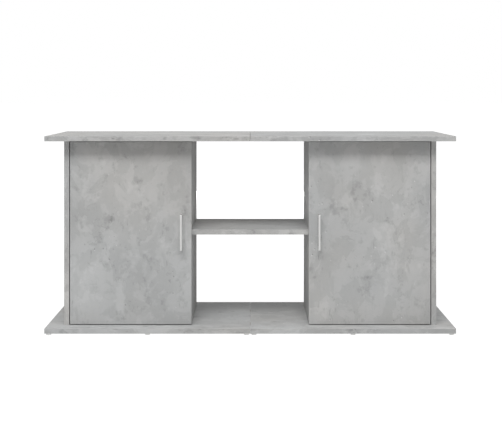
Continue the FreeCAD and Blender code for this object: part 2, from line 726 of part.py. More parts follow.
def hinge_plate():
    """Mounting plate: two screwed wings and a ridge that the arm bolts to."""
    body = new_body("hinge_plate")
    wings = corners_of(("plate_front", "-plate_wing"), ("plate_front + 16", "plate_wing"))
    pad(body, "+x", "0", wings, "plate_sheet")
    ridge = corners_of(("plate_front", "-ridge_half"), ("plate_back", "ridge_half"))
    pad(body, "+x", "0", ridge, "arm_high - sheet - fit")
    holes = [("plate_line", z) for z in both(["plate_screw_half"])]
    drill(body, "-x", "plate_sheet", holes, "wood_screw + screw_play", "plate_sheet")
    bores = [("fixing_front", "0"), ("fixing_back", "0")]
    drill(body, "-x", "arm_high - sheet", bores, "fixing_screw + fit", "arm_high - sheet - 1")
    return hinge_pair(body, "hinge_plates_left")


def hinge_screws(wood):
    """Screws of the cups, the plates and the arms."""
    machine = screw("arm_screw", "fixing_screw", "fixing_length", "fixing_head", "fixing_screw")
    cup_spots, plate_spots, arm_spots = [], [], []
    for level in HINGE_LEVELS:
        for side in both(["cup_screw_spacing / 2"]):
            x = f"-{SIDE_IN} + cup_centre + cup_screw_offset"
            cup_spots.append((x, f"{FRONT} + board + cup_flange", f"{level} + {side}", TO_REAR))
        for side in both(["plate_screw_half"]):
            plate_spots.append(
                (f"-{SIDE_IN} + plate_sheet", f"{FRONT} + plate_line", f"{level} + {side}", TO_RIGHT))
        for y in ("fixing_front", "fixing_back"):
            arm_spots.append((f"-{SIDE_IN} + arm_high", f"{FRONT} + {y}", level, TO_RIGHT))
    return (
        group(wood, "hinge_cup_screws_left", cup_spots),
        group(wood, "hinge_plate_screws_left", plate_spots),
        group(machine, "hinge_arm_screws_left", arm_spots),
    )


# ---- knock-down fastenings shared by both halves ----

def cam_lock():
    """Round cam housing with a bore for the bolt's head; z = 0 is its visible face."""
    body = new_body("cam_lock")
    boss(body, "-z", "0", [("0", "0")], "cam_radius", "cam_height")
    bolt_axis = [("0", "-board / 2")]
    drill(body, "+y", "-cam_radius / 2", bolt_axis, "bolt_head + cam_room", "cam_radius * 2")
    cross_slot(body, "0", "cam_radius * 0.5", "1.5")
    return body


def cam_bolt():
    """Bolt that a cam lock draws down; z = 0 is the underside of the top."""
    body = new_body("cam_bolt")
    head_low = "(-cam_depth - bolt_head / 2)"
    turn_profile(body, [
        ("0", head_low), ("bolt_head * 0.6", head_low), ("bolt_head", f"{head_low} + 1.2"),
        ("bolt_head", f"{head_low} + 2.4"), ("bolt_shank * 0.6", f"{head_low} + 3.4"),
        ("bolt_shank * 0.6", f"{head_low} + 6"), ("bolt_shank", f"{head_low} + 7.5"),
        ("bolt_shank", "-3"), ("bolt_thread + 0.6", "-3"), ("bolt_thread + 0.6", "-fit"),
        ("bolt_thread", "-fit"), ("bolt_thread", "bolt_bite - 1"), ("bolt_thread - 1", "bolt_bite"),
        ("0", "bolt_bite"),
    ])
    return body


def confirmat():
    """Flat-headed joint screw with a hexagon socket; z = 0 is its flush head."""
    body = new_body("joint_screw")
    turn_profile(body, [
        ("0", "-screw_length"), ("screw_core / 2", "-screw_length"),
        ("screw_core", "3 - screw_length"), ("screw_core", "-board"),
        ("screw_shoulder", "1.5 - board"), ("screw_shoulder", "0.5 - screw_shoulder"),
        ("screw_head", "-1"), ("screw_head", "0"), ("0", "0"),
    ])
    flat = "screw_shoulder * 0.6"
    hexagon = [
        (flat, "0"), (f"{flat} / 2", f"{flat} * 0.866"), (f"-{flat} / 2", f"{flat} * 0.866"),
        (f"-{flat}", "0"), (f"-{flat} / 2", f"-{flat} * 0.866"), (f"{flat} / 2", f"-{flat} * 0.866"),
    ]
    cut(body, "-z", "0", hexagon, "socket_depth")
    return body


def dowel():
    """Beech dowel with chamfered ends, centred on z = 0."""
    body = new_body("dowel")
    half = "dowel_length / 2"
    turn_profile(body, [
        ("0", f"-{half}"), ("dowel_radius - 1", f"-{half}"), ("dowel_radius", f"1 - {half}"),
        ("dowel_radius", f"{half} - 1"), ("dowel_radius - 1", half), ("0", half),
    ])
    return body


def carcass_fastenings():
    """Cams, bolts, dowels and joint screws that hold the boards together."""
    columns = both([SIDE_MIDDLE, DIVIDER_MIDDLE])
    spots = [(x, y) for x in columns for y in both(["cam_row"])]
    group(cam_bolt(), "cam_bolts", [(x, y, TOP_UNDER, UPWARD) for x, y in spots])
    cam_level = f"{TOP_UNDER} - cam_depth"
    faces = [(f"-{SIDE_IN}", TO_RIGHT), (f"-{DIVIDER_OUT}", TO_LEFT)]
    faces += [(SIDE_IN, TO_LEFT), (DIVIDER_OUT, TO_RIGHT)]
    cams = []
    for face, turn in faces:
        cams += [(face, y, cam_level, turn) for y in both(["cam_row"])]
    group(cam_lock(), "cam_locks", cams)
    peg = dowel()
    pegs = [(x, y) for x in columns for y in both(["dowel_row"])]
    top_level = f"{TOP_UNDER} + dowel_bite - dowel_length / 2"
    base_level = f"{BASE_TOP} - dowel_bite + dowel_length / 2"
    group(peg, "top_dowels", [(x, y, top_level, UPWARD) for x, y in pegs])
    group(peg, "base_dowels", [(x, y, base_level, UPWARD) for x, y in pegs])
    joint = confirmat()
    group(joint, "base_screws", [(x, y, "glide_height", DOWNWARD) for x, y in spots])
    shelf_level = f"{SHELF_UNDER} + board / 2"
    shelf_spots = []
    for face, turn in ((f"-{DIVIDER_OUT}", TO_LEFT), (DIVIDER_OUT, TO_RIGHT)):
        shelf_spots += [(face, y, shelf_level, turn) for y in both(["shelf_screw_row"])]
    group(joint, "shelf_screws", shelf_spots)
    seam = [("0", y, level, TO_RIGHT) for y in both(["seam_dowel_row"])
            for level in (f"{TOP_UNDER} + board / 2", "glide_height + board / 2")]
    group(peg, "seam_dowels", seam)


def shelf_pins():
    """Steel pins under the loose shelves, four to a cabinet."""
    body = new_body("shelf_pin")
    turn_profile(body, [
        ("0", "-pin_bite"), ("pin_radius - 0.5", "-pin_bite"), ("pin_radius", "0.5 - pin_bite"),
        ("pin_radius", "pin_length - pin_bite - 0.5"), ("pin_radius - 0.5", "pin_length - pin_bite"),
        ("0", "pin_length - pin_bite"),
    ])
    level = f"{BASE_TOP} + {pin_level(0)}"
    faces = [(f"-{SIDE_IN}", TO_RIGHT), (f"-{DIVIDER_OUT}", TO_LEFT)]
    faces += [(SIDE_IN, TO_LEFT), (DIVIDER_OUT, TO_RIGHT)]
    spots = []
    for face, turn in faces:
        spots += [(face, y, level, turn) for y in both(["pin_row"])]
    return group(body, "shelf_pins", spots)


def joining_plates(wood):
    """Steel plates across the seams under the top and under the base."""
    body = new_body("joining_plate")
    outline = corners_of(("-tie_length / 2", "-tie_width / 2"), ("tie_length / 2", "tie_width / 2"))
    pad(body, "-z", "0", outline, "tie_sheet")
    columns = both(["tie_screw_pitch / 2", "tie_screw_pitch * 1.5"])
    drill(body, "-z", "0", [(x, "0") for x in columns], "wood_screw + screw_play", "tie_sheet")
    undersides = {"top": TOP_UNDER, "base": "glide_height"}
    for name, level in undersides.items():
        rows = both(["dowel_row"])
        group(body, f"{name}_joining_plates", [("0", y, level, UPWARD) for y in rows])
        screws = [(x, y, f"{level} - tie_sheet", DOWNWARD) for x in columns for y in rows]
        group(wood, f"{name}_joining_screws", screws)


# ---- feet ----

def glide_spots(signs):
    """Places of the glides on the sides of the middle that signs names: -1 left, 1 right."""
    columns = ["glide_row", "glide_middle", "plate_length / 2 - glide_row"]
    spots = []
    for column in columns:
        for row in both(["plate_depth / 2 - glide_inset"]):
            spots += [(f"{sign} * ({column})", row) for sign in signs]
    return spots


def glides():
    """Nail-on plastic glides: a tapered disc with a sunk nail hole."""
    body = new_body("glide")
    turn_profile(body, [
        ("0", "0"), ("glide_foot_radius", "0"), ("glide_radius", "glide_taper"),
        ("glide_radius", "glide_height"), ("0", "glide_height"),
    ])
    drill(body, "+z", "0", [("0", "0")], "nail_head_radius + loose_fit", "nail_sink + nail_cap")
    drill(body, "+z", "0", [("0", "0")], "nail_radius + fit", "glide_height")
    spots = [(x, y, "0", UPWARD) for x, y in glide_spots([-1, 1])]
    return group(body, "glides", spots)


def glide_nails():
    """Flat-headed nails through the glides."""
    body = new_body("glide_nail")
    turn_profile(body, [
        ("0", "nail_sink"), ("nail_head_radius", "nail_sink"),
        ("nail_head_radius", "nail_sink + nail_cap"), ("nail_radius", "nail_sink + nail_cap"),
        ("nail_radius", "nail_length"), ("nail_radius * 0.2", "nail_length + 1.5"),
        ("0", "nail_length + 1.5"),
    ])
    spots = [(x, y, "0", UPWARD) for x, y in glide_spots([-1, 1])]
    return group(body, "glide_nails", spots)


# ---- assembly ----

def build():
    """Makes every sub-part: the left-hand pieces, their mirror images, and the rest."""
    wood = screw("wood_screw", "wood_screw", "wood_screw_length", "wood_screw_head", "wood_screw_cap")
    left = [
        top_half(), base_half(), side_panel(), divider(), inner_shelf(), back_panel(),
        door(), door_handle(), handle_screws(), door_bumpers(),
        hinge_cup(), outer_link(), inner_link(), hinge_arm(), hinge_plate(), *hinge_pins(),
        *hinge_screws(wood),
    ]
    for piece in left:
        mirror(piece, piece.Label.replace("_left", "_right"))
    centre_shelf()
    carcass_fastenings()
    shelf_pins()
    joining_plates(wood)
    glides()
    glide_nails()


def write_parts():
    """Checks every object, then writes one STEP file for each sub-part."""
    doc.recompute()
    for item in doc.Objects:
        if {"Invalid", "Error"} & set(item.State):
            raise RuntimeError(f"{item.Label} failed: {item.State}")
    for piece in subparts:
        if piece.Shape.isNull() or not piece.Shape.isValid():
            raise RuntimeError(f"{piece.Label} has no valid shape")
    os.makedirs("parts", exist_ok=True)
    for piece in subparts:
        piece.Shape.exportStep(f"parts/{piece.Label}.step")
    print(len(subparts), "sub-parts written")


build()
write_parts()
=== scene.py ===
"""Looks for the aquarium stand cabinet: concrete-decor boards, satin handles and plated fittings,
in a plain white studio."""

import json
import math

import bpy
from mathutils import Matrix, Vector


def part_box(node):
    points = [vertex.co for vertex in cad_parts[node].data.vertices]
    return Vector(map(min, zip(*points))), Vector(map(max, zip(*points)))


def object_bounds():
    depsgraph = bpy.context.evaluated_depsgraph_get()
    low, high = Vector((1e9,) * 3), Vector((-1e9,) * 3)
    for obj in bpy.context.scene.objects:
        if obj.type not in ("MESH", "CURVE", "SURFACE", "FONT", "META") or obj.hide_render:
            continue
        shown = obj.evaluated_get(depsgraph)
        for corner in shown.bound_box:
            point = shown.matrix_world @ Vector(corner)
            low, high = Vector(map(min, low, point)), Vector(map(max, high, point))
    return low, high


MM = 0.001
ONES = (1.0, 1.0, 1.0)
WHITE = (1.0, 1.0, 1.0, 1.0)

# Camera: level, in front of the cabinet and above it, with the lens shifted down to the cabinet.
CAMERA_PLACE = Vector((0.0, -3.444, 0.7172))
CAMERA_LENS_MM = 79.1
CAMERA_SENSOR_MM = 36.0
CAMERA_SHIFT = {"shift_x": 0.0016, "shift_y": -0.2459}

# Studio: radiances are relative to pure white, which is 1.
BACKDROP_WHITE = 1.0
HORIZON_AMBIENT = 0.34
ZENITH_AMBIENT = 1.0
GLOSSY_AMBIENT = 0.85
REAR_SHARE = 0.18
REAR_FADE = (-0.2, 0.5)
FLOOR_HALF_WIDTH = 60.0
FLOOR_PAINT = 0.95
FLOOR_BOUNCE = 0.78
FLOOR_REAR_FADE = (-0.2, 0.4)
FLOOR_GLOW = 1.24
FLOOR_SHADOW_SHARE = 0.25
UNDERSIDE_GLOW = 0.55

# The key light, in degrees and metres from the cabinet's middle. Azimuth is 0 in front and rises to
# the right.
KEY_AZIMUTH = -6.0
KEY_ELEVATION = 47.0
KEY_DISTANCE = 7.0
KEY_SIZE = (4.0, 2.0)
KEY_LEVEL = 0.53

# A weak light from low behind, so that the back can be seen; it is too low to light the shelves.
REAR_DISTANCE = 4.5
REAR_SIZE = (1.2, 0.5)
REAR_LEVEL = 0.3


class Graph:
    """Adds shader nodes to one tree. A value is a number, a tuple or another node's output socket."""

    MIX_SOCKETS = {"FLOAT": (2, 3, 0), "RGBA": (6, 7, 2)}

    def __init__(self, tree):
        self.tree = tree

    def feed(self, socket, value):
        if isinstance(value, bpy.types.NodeSocket):
            self.tree.links.new(value, socket)
        else:
            socket.default_value = value

    def node(self, kind, inputs=None, **settings):
        made = self.tree.nodes.new(kind)
        for name, value in settings.items():
            setattr(made, name, value)
        for name, value in (inputs or {}).items():
            self.feed(made.inputs[name], value)
        return made

    def maths(self, operation, *values):
        made = self.node("ShaderNodeMath", operation=operation)
        for socket, value in zip(made.inputs, values):
            self.feed(socket, value)
        return made.outputs[0]

    def vector(self, operation, *values):
        made = self.node("ShaderNodeVectorMath", operation=operation)
        for socket, value in zip(made.inputs, values):
            self.feed(socket, value)
        return made.outputs["Value" if operation == "DOT_PRODUCT" else "Vector"]

    def split(self, vector):
        return self.node("ShaderNodeSeparateXYZ", {"Vector": vector}).outputs

    def mix(self, share, first, second, kind="FLOAT"):
        made = self.node("ShaderNodeMix", data_type=kind)
        low, high, out = self.MIX_SOCKETS[kind]
        self.feed(made.inputs[0], share)
        self.feed(made.inputs[low], first)
        self.feed(made.inputs[high], second)
        return made.outputs[out]

    def noise(self, where, scale, detail=2.0, roughness=0.5, distortion=0.0):
        values = {"Vector": where, "Scale": scale, "Detail": detail}
        values.update({"Roughness": roughness, "Distortion": distortion})
        return self.node("ShaderNodeTexNoise", values).outputs["Fac"]

    def cells(self, where, scale):
        return self.node("ShaderNodeTexVoronoi", {"Vector": where, "Scale": scale}).outputs

    def step(self, value, low, high):
        """0 below low, 1 above high and a smooth rise between."""
        values = {"Value": value, "From Min": low, "From Max": high}
        return self.node("ShaderNodeMapRange", values, interpolation_type="SMOOTHSTEP").outputs[0]

    def line(self, value, level, half_width):
        """1 where value is at level, falling to 0 within half_width of it."""
        away = self.maths("ABSOLUTE", self.maths("SUBTRACT", value, level))
        return self.maths("SUBTRACT", 1.0, self.step(away, 0.0, half_width))

    def pits(self, where, scale, rarity, mask):
        """Small ragged marks of mixed size, one at most in each cell, only where the mask allows them."""
        cell = self.cells(where, scale)
        chance, size, _ = self.split(cell["Color"])
        ragged = self.maths("ADD", cell["Distance"], self.swing(self.noise(where, scale * 3.5, 2.0), 0.22))
        reach = self.maths("ADD", 0.07, self.maths("MULTIPLY", size, 0.16))
        spot = self.maths("SUBTRACT", 1.0, self.step(self.maths("DIVIDE", ragged, reach), 0.5, 1.3))
        return self.product(spot, self.step(chance, rarity, rarity + 0.08), mask)

    def swing(self, value, amount):
        """A noise value of 0 to 1 turned into one of -amount / 2 to amount / 2."""
        return self.maths("MULTIPLY", self.maths("SUBTRACT", value, 0.5), amount)

    def total(self, values):
        result = values[0]
        for value in values[1:]:
            result = self.maths("ADD", result, value)
        return result

    def product(self, *values):
        result = values[0]
        for value in values[1:]:
            result = self.maths("MULTIPLY", result, value)
        return result

    def place(self):
        return self.node("ShaderNodeTexCoord").outputs["Object"]

    def own(self, name):
        """A vector that the object itself holds, from set_board_values."""
        made = self.node("ShaderNodeAttribute", attribute_type="OBJECT", attribute_name=name)
        return made.outputs["Vector"]

    def scaled(self, value, colour):
        """A colour or vector multiplied by a number."""
        spread = self.node("ShaderNodeCombineXYZ", {"X": value, "Y": value, "Z": value})
        return self.vector("MULTIPLY", spread.outputs[0], colour)

    def bump(self, height, strength, depth):
        values = {"Height": height, "Strength": strength, "Distance": depth}
        return self.node("ShaderNodeBump", values).outputs[0]


def new_material(name):
    material = bpy.data.materials.new(name)
    material.use_nodes = True
    material.node_tree.nodes.clear()
    return material, Graph(material.node_tree)


def finish_material(graph, **inputs):
    """Adds the surface shader and the output. Input names use _ for the spaces in the shader's own."""
    values = {name.replace("_", " "): value for name, value in inputs.items()}
    surface = graph.node("ShaderNodeBsdfPrincipled", values)
    out = graph.node("ShaderNodeOutputMaterial")
    graph.tree.links.new(surface.outputs[0], out.inputs["Surface"])


# ---- Concrete decor ----

def decor_group():
    """The printed concrete decor: tone about 1, tint 0 to 1, and a height for the bump.
    Both places are in metres, so a noise scale counts features to the metre. The stroke place is
    drawn out along the board, for the marks of the trowel."""
    tree = bpy.data.node_groups.new("concrete_decor", "ShaderNodeTree")
    for name in ("Place", "Stroke Place"):
        tree.interface.new_socket(name, in_out="INPUT", socket_type="NodeSocketVector")
    for name in ("Tone", "Tint", "Height"):
        tree.interface.new_socket(name, in_out="OUTPUT", socket_type="NodeSocketFloat")
    graph = Graph(tree)
    given = graph.node("NodeGroupInput").outputs
    place = given["Place"]

    def moved(x, y, z):
        return graph.vector("ADD", place, (x, y, z))

    clouds = graph.noise(place, 5.0, 3.0, 0.55, 0.3)
    trowel = graph.noise(place, 14.0, 6.0, 0.6, 0.6)
    patches = graph.step(trowel, 0.46, 0.54)
    rim = graph.product(
        graph.line(trowel, 0.5, 0.016),
        graph.step(graph.noise(moved(2.6, 0.4, 7.7), 19.0, 3.0), 0.45, 0.62))
    light = graph.step(graph.noise(moved(3.1, 5.7, 1.3), 17.0, 5.0, 0.62), 0.56, 0.62)
    dark = graph.step(graph.noise(moved(8.4, 2.2, 6.9), 22.0, 6.0, 0.66), 0.57, 0.65)
    smudge = graph.step(graph.noise(moved(4.6, 7.3, 2.8), 42.0, 5.0, 0.62), 0.60, 0.70)
    mottle = graph.noise(place, 75.0, 4.0, 0.6)
    grain = graph.noise(place, 420.0, 3.0, 0.6)
    hairline = graph.product(
        graph.line(graph.noise(place, 8.0, 5.0, 0.55, 0.9), 0.5, 0.005),
        graph.step(graph.noise(place, 6.0, 2.0), 0.48, 0.6))
    worked = graph.step(graph.noise(moved(1.7, 9.2, 4.4), 10.0, 3.0, 0.6), 0.52, 0.60)
    stroke = graph.product(
        graph.step(graph.noise(given["Stroke Place"], 110.0, 2.0, 0.5), 0.66, 0.74),
        graph.maths("ADD", 0.35, worked))
    worked_twice = graph.step(graph.noise(moved(6.2, 3.3, 0.9), 34.0, 2.0), 0.43, 0.54)
    worked_here = graph.product(worked, worked_twice)
    pit = graph.pits(place, 90.0, 0.42, worked_here)
    small_pit = graph.pits(moved(0.31, 0.12, 0.57), 170.0, 0.40, worked_here)
    # Painted highlight: a lighter spot beside each pit, from the same cells as the pits moved by about 2 mm.
    pit_highlight = graph.pits(moved(0.0019, 0.0011, 0.0026), 90.0, 0.42, worked_here)

    tone = graph.total([
        1.0,
        graph.swing(clouds, 0.36),
        graph.swing(patches, 0.09),
        graph.maths("MULTIPLY", rim, -0.10),
        graph.maths("MULTIPLY", light, 0.075),
        graph.maths("MULTIPLY", dark, -0.14),
        graph.maths("MULTIPLY", smudge, -0.15),
        graph.swing(mottle, 0.10),
        graph.swing(grain, 0.07),
        graph.maths("MULTIPLY", hairline, -0.08),
        graph.maths("MULTIPLY", stroke, -0.14),
        graph.maths("MULTIPLY", pit, -0.42),
        graph.maths("MULTIPLY", small_pit, -0.3),
        graph.maths("MULTIPLY", pit_highlight, 0.40),
    ])
    height = graph.total([
        graph.maths("MULTIPLY", grain, 0.35),
        graph.maths("MULTIPLY", mottle, 0.3),
        graph.maths("MULTIPLY", patches, 0.1),
        graph.maths("MULTIPLY", pit, -0.6),
        graph.maths("MULTIPLY", hairline, -0.2),
    ])
    result = graph.node("NodeGroupOutput")
    graph.feed(result.inputs["Tone"], tone)
    graph.feed(result.inputs["Tint"], graph.noise(place, 3.2, 2.0))
    graph.feed(result.inputs["Height"], height)
    return tree


def set_board_values(piece, index):
    """Gives a piece the values that its material reads: its box, its thin and long directions, and a
    shift that sets its part of the decor apart from the other pieces'."""
    low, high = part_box(piece.name)
    size = high - low
    thin = min(range(3), key=lambda axis: size[axis])
    long = max(range(3), key=lambda axis: size[axis])
    piece["low"] = list(low)
    piece["high"] = list(high)
    piece["thin"] = [float(axis == thin) for axis in range(3)]
    piece["long"] = [float(axis == long) for axis in range(3)]
    piece["shift"] = [0.61 * index, 1.37 * index, 0.83 * index]


def board_distances(graph):
    """Distances in metres: below the nearest face, from the nearest edge, and from the two broad faces."""
    place = graph.place()
    from_low = graph.vector("SUBTRACT", place, graph.own("low"))
    from_high = graph.vector("SUBTRACT", graph.own("high"), place)
    gaps = graph.vector("MINIMUM", from_low, from_high)
    x, y, z = graph.split(gaps)
    nearest = graph.maths("MINIMUM", x, graph.maths("MINIMUM", y, z))
    farthest = graph.maths("MAXIMUM", x, graph.maths("MAXIMUM", y, z))
    corner = graph.maths("SUBTRACT", graph.total([x, y, z]), graph.maths("ADD", nearest, farthest))
    broad = graph.vector("DOT_PRODUCT", gaps, graph.own("thin"))
    return nearest, corner, broad


def chipboard(graph):
    """The pressed flakes that a drilled hole or a cut groove lays bare."""
    place = graph.place()
    flake = graph.split(graph.cells(place, 620.0)["Color"])["X"]
    dust = graph.noise(place, 1500.0, 2.0)
    colour = graph.mix(flake, (0.30, 0.19, 0.10, 1.0), (0.56, 0.41, 0.25, 1.0), "RGBA")
    return graph.scaled(graph.maths("ADD", 0.75, graph.maths("MULTIPLY", dust, 0.5)), colour), flake


def board_material(name, decor, grey, edge_painted_shade=1.0, seam=False):
    """Matt melamine board: decor on the faces, streaked edge band on the narrow sides, and chipboard
    in the holes. A board with a seam is darkened beside it, at x = 0, with a little dust and painted shade in
    the joint."""
    material, graph = new_material(name)
    nearest, corner, broad = board_distances(graph)
    on_edge = graph.step(broad, 0.25 * MM, 0.75 * MM)
    in_core = graph.step(nearest, 0.3 * MM, 0.4 * MM)

    long = graph.own("long")
    short = graph.vector("SUBTRACT", ONES, long)
    along_scale = graph.mix(on_edge, 0.8, 0.7)
    cross_scale = graph.mix(on_edge, 1.0, 1.1)
    stretch = graph.vector("ADD", graph.scaled(along_scale, long), graph.scaled(cross_scale, short))
    where = graph.vector("ADD", graph.vector("MULTIPLY", graph.place(), stretch), graph.own("shift"))
    stroke_stretch = graph.vector("ADD", graph.scaled(0.3, long), short)
    printed = graph.node("ShaderNodeGroup", node_tree=decor)
    graph.feed(printed.inputs["Place"], where)
    graph.feed(printed.inputs["Stroke Place"], graph.vector("MULTIPLY", where, stroke_stretch))

    worn = graph.product(
        graph.maths("SUBTRACT", 1.0, graph.step(corner, 0.3 * MM, 1.1 * MM)),
        graph.noise(graph.place(), 60.0, 3.0, 0.6))
    glue = graph.product(
        graph.step(corner, 0.7 * MM, 1.0 * MM),
        graph.maths("SUBTRACT", 1.0, graph.step(corner, 1.1 * MM, 1.4 * MM)),
        graph.maths("SUBTRACT", 1.0, on_edge))
    print_swing = graph.maths("SUBTRACT", printed.outputs["Tone"], 1.0)
    tone = graph.total([
        1.0,
        graph.maths("MULTIPLY", print_swing, graph.mix(on_edge, 1.0, 1.5)),
        graph.maths("MULTIPLY", worn, 0.05),
        graph.maths("MULTIPLY", glue, -0.04),
    ])
    # Painted shade: the edge band's tone is lowered by the given factor, so the narrow sides read darker than
    # the faces.
    tone = graph.maths("MULTIPLY", tone, graph.mix(on_edge, 1.0, edge_painted_shade))
    if seam:
        # A little dust and painted shade: the board is darkened within 1.6 mm of the seam at x = 0.
        from_seam = graph.maths("ABSOLUTE", graph.split(graph.place())["X"])
        dust = graph.maths("SUBTRACT", 1.0, graph.step(from_seam, 0.4 * MM, 1.6 * MM))
        tone = graph.maths("MULTIPLY", tone, graph.mix(dust, 1.0, 0.65))
    warm = (grey * 1.012, grey, grey * 0.975, 1.0)
    cool = (grey * 0.99, grey * 1.002, grey, 1.0)
    tint = graph.mix(graph.step(printed.outputs["Tint"], 0.35, 0.65), warm, cool, "RGBA")
    face = graph.scaled(tone, tint)
    core, flake = chipboard(graph)

    roughness = graph.maths("ADD", 0.58, graph.swing(printed.outputs["Height"], 0.3))
    height = graph.mix(in_core, printed.outputs["Height"], flake)
    finish_material(
        graph,
        Base_Color=graph.mix(in_core, face, core, "RGBA"),
        Roughness=graph.mix(in_core, roughness, 0.9),
        Specular_IOR_Level=0.15,
        Normal=graph.bump(height, 0.25, 0.25 * MM))
    return material


def hardboard_material(name, decor, grey):
    """Thin back board: grey decor foil to the front, bare brown fibre to the rear and at its edges."""
    material, graph = new_material(name)
    place = graph.place()
    from_front = graph.split(graph.vector("SUBTRACT", place, graph.own("low")))["Y"]
    bare = graph.step(from_front, 0.1 * MM, 0.3 * MM)
    printed = graph.node("ShaderNodeGroup", node_tree=decor)
    where = graph.vector("ADD", place, graph.own("shift"))
    graph.feed(printed.inputs["Place"], where)
    graph.feed(printed.inputs["Stroke Place"], graph.vector("MULTIPLY", where, (1.0, 1.0, 0.3)))
    foil = graph.scaled(printed.outputs["Tone"], (grey, grey, grey * 0.985))
    fibre = graph.noise(graph.vector("MULTIPLY", place, (1.0, 1.0, 0.55)), 900.0, 4.0, 0.7)
    cloud = graph.noise(place, 14.0, 4.0, 0.6)
    brown = graph.mix(fibre, (0.17, 0.115, 0.070, 1.0), (0.48, 0.36, 0.24, 1.0), "RGBA")
    shade = graph.maths("ADD", 1.0, graph.swing(cloud, 0.5))
    height = graph.mix(bare, printed.outputs["Height"], fibre)
    finish_material(
        graph,
        Base_Color=graph.mix(bare, foil, graph.scaled(shade, brown), "RGBA"),
        Roughness=graph.mix(bare, 0.5, graph.maths("ADD", 0.6, graph.swing(fibre, 0.3))),
        Specular_IOR_Level=0.3,
        Normal=graph.bump(height, 0.35, 0.2 * MM))
    return material


# ---- Fittings ----

def edge_wear(graph):
    """1 on sharp outer edges and 0 elsewhere."""
    return graph.step(graph.node("ShaderNodeNewGeometry").outputs["Pointiness"], 0.52, 0.60)


def brushed_metal(name, colour, roughness, brush):
    """Satin metal with fine lines along the piece, faint handling marks and brighter edges."""
    material, graph = new_material(name)
    place = graph.place()
    long = graph.own("long")
    short = graph.vector("SUBTRACT", ONES, long)
    stretch = graph.vector("ADD", graph.scaled(brush, long), short)
    line = graph.noise(graph.vector("MULTIPLY", place, stretch), 3200.0, 3.0, 0.7)
    mark = graph.noise(place, 45.0, 4.0, 0.65)
    tone = graph.total([
        0.96,
        graph.swing(line, 0.10),
        graph.swing(mark, 0.06),
        graph.maths("MULTIPLY", edge_wear(graph), 0.08),
    ])
    finish_material(
        graph,
        Base_Color=graph.scaled(tone, colour),
        Metallic=1.0,
        Roughness=graph.total([roughness, graph.swing(line, 0.14), graph.swing(mark, 0.12)]),
        Normal=graph.bump(line, 0.10, 0.04 * MM))
    return material


def plated_metal(name, colour, roughness, grain_scale, relief):
    """Plated or cast metal: a fine skin, cloudy plating, hair scratches and brighter edges."""
    material, graph = new_material(name)
    place = graph.place()
    skin = graph.noise(place, grain_scale, 3.0, 0.65)
    cloud = graph.noise(place, 110.0, 4.0, 0.6)
    rubbed = graph.vector("MULTIPLY", place, (1.0, 0.2, 1.7))
    scratch = graph.line(graph.noise(rubbed, 160.0, 2.0, 0.5, 1.2), 0.5, 0.008)
    tone = graph.total([
        0.92,
        graph.swing(skin, 0.10),
        graph.swing(cloud, 0.22),
        graph.maths("MULTIPLY", scratch, 0.05),
        graph.maths("MULTIPLY", edge_wear(graph), 0.12),
    ])
    finish_material(
        graph,
        Base_Color=graph.scaled(tone, colour),
        Metallic=1.0,
        Roughness=graph.total([roughness, graph.swing(cloud, 0.22), graph.maths("MULTIPLY", scratch, 0.1)]),
        Normal=graph.bump(skin, relief, 0.05 * MM))
    return material


def glide_material(name):
    """Moulded grey plastic, scuffed where it meets the floor."""
    material, graph = new_material(name)
    place = graph.place()
    height = graph.split(place)["Z"]
    scuff_noise = graph.noise(graph.vector("MULTIPLY", place, (1.0, 0.25, 1.0)), 1400.0, 4.0, 0.7)
    near_floor = graph.maths("SUBTRACT", 1.0, graph.step(height, 0.1 * MM, 1.2 * MM))
    scuff = graph.product(near_floor, graph.step(scuff_noise, 0.45, 0.65))
    spark = graph.noise(place, 2600.0, 2.0, 0.6)
    cloud = graph.noise(place, 90.0, 3.0)
    tone = graph.total([
        1.0,
        graph.swing(cloud, 0.12),
        graph.swing(spark, 0.08),
        graph.maths("MULTIPLY", scuff, -0.22),
    ])
    finish_material(
        graph,
        Base_Color=graph.scaled(tone, (0.80, 0.80, 0.79)),
        Roughness=graph.total([0.42, graph.swing(spark, 0.15), graph.maths("MULTIPLY", scuff, 0.3)]),
        Normal=graph.bump(graph.total([spark, scuff]), 0.2, 0.05 * MM))
    return material


def bumper_material(name):
    """Soft clear plastic with a few dust specks and a slightly frosted skin."""
    material, graph = new_material(name)
    place = graph.place()
    frost = graph.noise(place, 900.0, 3.0, 0.6)
    dust = graph.step(graph.noise(place, 2400.0, 2.0, 0.6), 0.66, 0.72)
    colour = graph.mix(dust, (0.86, 0.87, 0.86, 1.0), (0.52, 0.50, 0.47, 1.0), "RGBA")
    finish_material(
        graph,
        Base_Color=colour,
        Transmission_Weight=0.55,
        IOR=1.45,
        Roughness=graph.total([0.22, graph.swing(frost, 0.2), graph.maths("MULTIPLY", dust, 0.4)]),
        Normal=graph.bump(frost, 0.15, 0.05 * MM))
    return material


def beech_material(name):
    """Fluted beech dowel: pale straight grain with short dark flecks along the dowel."""
    material, graph = new_material(name)
    place = graph.place()
    long = graph.own("grain")
    short = graph.vector("SUBTRACT", ONES, long)
    stretch = graph.vector("ADD", graph.scaled(0.06, long), short)
    where = graph.vector("MULTIPLY", place, stretch)
    grain = graph.noise(where, 1300.0, 4.0, 0.6, 0.4)
    flecks = graph.step(graph.noise(graph.vector("ADD", where, (0.3, 0.7, 0.2)), 2600.0, 2.0), 0.62, 0.70)
    colour = graph.mix(grain, (0.50, 0.32, 0.17, 1.0), (0.74, 0.56, 0.37, 1.0), "RGBA")
    tone = graph.maths("SUBTRACT", 1.0, graph.maths("MULTIPLY", flecks, 0.35))
    finish_material(
        graph,
        Base_Color=graph.scaled(tone, colour),
        Roughness=graph.total([0.62, graph.swing(grain, 0.2)]),
        Specular_IOR_Level=0.3,
        Normal=graph.bump(grain, 0.3, 0.1 * MM))
    return material


